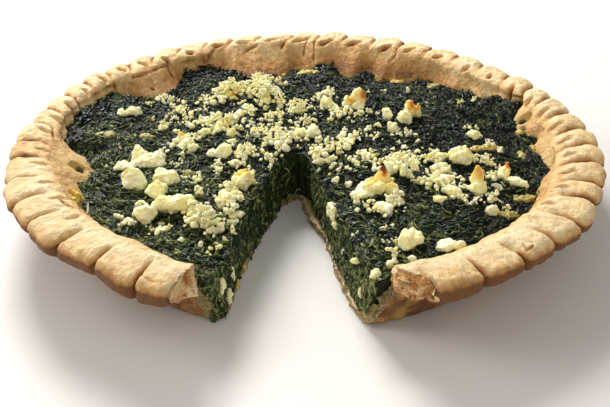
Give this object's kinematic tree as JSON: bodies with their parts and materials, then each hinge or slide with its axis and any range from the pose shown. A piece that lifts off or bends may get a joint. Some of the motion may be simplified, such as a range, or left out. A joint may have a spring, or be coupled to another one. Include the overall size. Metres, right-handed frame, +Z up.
{
  "type": "spinach quiche",
  "caption": "Round spinach quiche in a crimped shortcrust shell, topped with crumbled feta, with one thin slice cut out of the front.",
  "frame": {"origin": "middle of the round underside, where the middle of the case stands on the table", "axes": "+Z up through the quiche, -Y towards the missing slice, +X to the right of it"},
  "size_m": [0.2425, 0.2355, 0.0348],
  "materials": {
    "pastry": "dry baked shortcrust, pale gold, browned on its broken ends",
    "spinach_filling": "chopped baked spinach and egg, moist, very dark green",
    "feta": "crumbly baked cheese, cream, toasted orange on the highest tips"
  },
  "bodies": {
    "root": {"crust": "pastry", "filling": "spinach_filling", "feta_01": "feta", "feta_02": "feta", "feta_03": "feta", "feta_04": "feta", "feta_05": "feta", "feta_06": "feta", "feta_07": "feta", "feta_08": "feta", "feta_09": "feta", "feta_10": "feta", "feta_11": "feta", "feta_12": "feta", "feta_13": "feta", "feta_14": "feta", "feta_15": "feta", "feta_16": "feta", "feta_17": "feta", "feta_18": "feta", "feta_19": "feta", "feta_20": "feta"}
  },
  "joints": []
}
